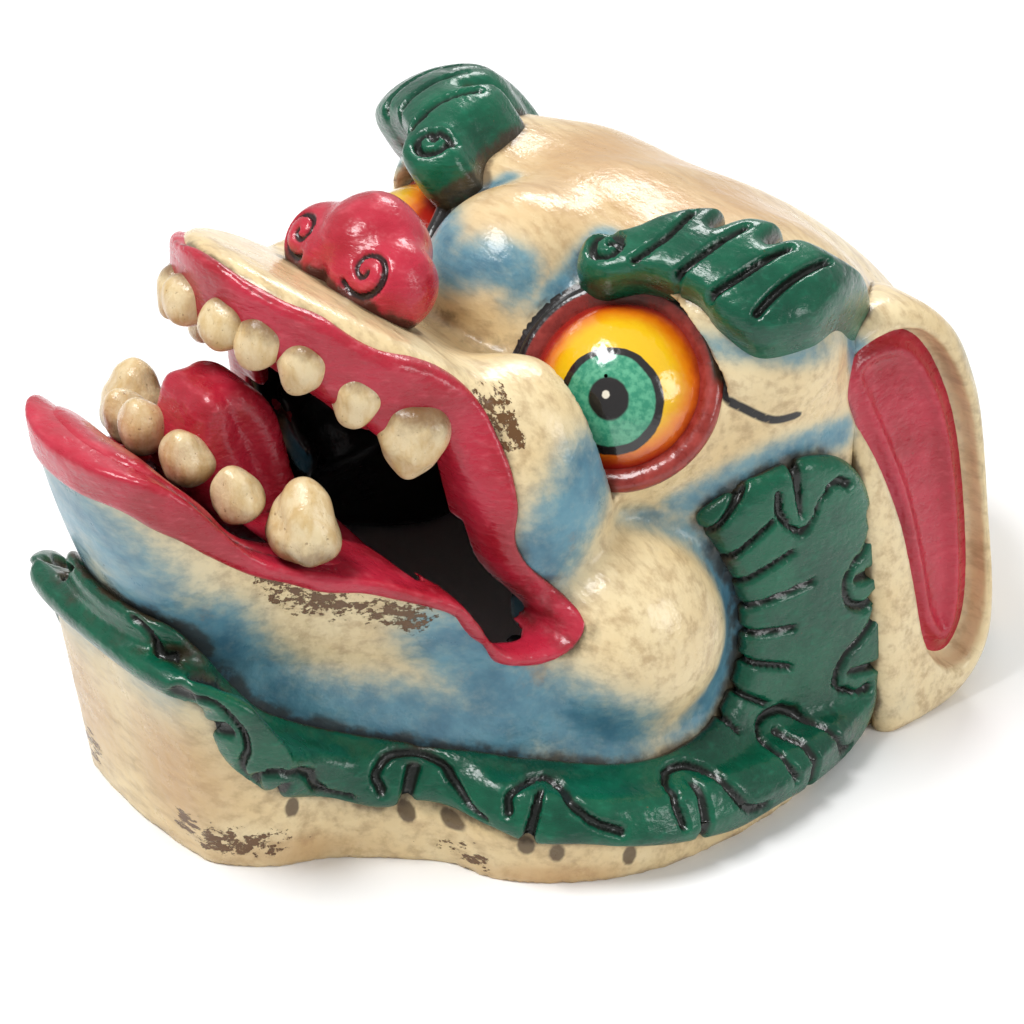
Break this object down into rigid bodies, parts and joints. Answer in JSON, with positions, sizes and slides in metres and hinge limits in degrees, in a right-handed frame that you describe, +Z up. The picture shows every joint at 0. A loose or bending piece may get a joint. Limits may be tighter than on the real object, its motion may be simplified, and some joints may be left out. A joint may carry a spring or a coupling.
{
  "type": "dragon mask",
  "caption": "Hollow dragon mask worn over the head: open jaws with teeth and tongue, bulging eyes, curled green brows, beard and mane, open rim below.",
  "frame": {"origin": "middle of the rest footprint, in the plane of the open rim", "axes": "+Z up from the rim, the face looks towards -Y, +X is the mask's own left; the plane X = 0 is its plane of symmetry"},
  "size_m": [0.2648, 0.3823, 0.209],
  "materials": {
    "cream_gesso": "gessoed, painted aged cream and varnished",
    "green_hair": "carved, painted deep green and varnished",
    "crimson_paint": "painted crimson and varnished",
    "ivory_tooth": "painted ivory, stained at the roots",
    "eye_paint": "painted yellow to orange, glossy",
    "lid_paint": "painted brick red, glossy"
  },
  "bodies": {
    "root": {"head_shell": "cream_gesso", "snout": "cream_gesso", "lower_jaw": "cream_gesso", "neck_skirt": "cream_gesso", "cheek_left": "cream_gesso", "cheek_right": "cream_gesso", "ear_left": "cream_gesso", "ear_right": "cream_gesso", "beard": "green_hair", "mane_left": "green_hair", "mane_right": "green_hair", "brow_left": "green_hair", "brow_right": "green_hair", "upper_lip": "crimson_paint", "lower_lip": "crimson_paint", "upper_gum": "crimson_paint", "lower_gum": "crimson_paint", "nose": "crimson_paint", "tongue": "crimson_paint", "upper_tooth_1_left": "ivory_tooth", "upper_tooth_1_right": "ivory_tooth", "upper_tooth_2_left": "ivory_tooth", "upper_tooth_2_right": "ivory_tooth", "upper_tooth_3_left": "ivory_tooth", "upper_tooth_3_right": "ivory_tooth", "upper_tooth_4_left": "ivory_tooth", "upper_tooth_4_right": "ivory_tooth", "upper_fang_left": "ivory_tooth", "upper_fang_right": "ivory_tooth", "lower_tooth_1_left": "ivory_tooth", "lower_tooth_1_right": "ivory_tooth", "lower_tooth_2_left": "ivory_tooth", "lower_tooth_2_right": "ivory_tooth", "lower_fang_left": "ivory_tooth", "lower_fang_right": "ivory_tooth", "eye_left": "eye_paint", "eye_right": "eye_paint", "eyelid_left": "lid_paint", "eyelid_right": "lid_paint"}
  },
  "joints": []
}
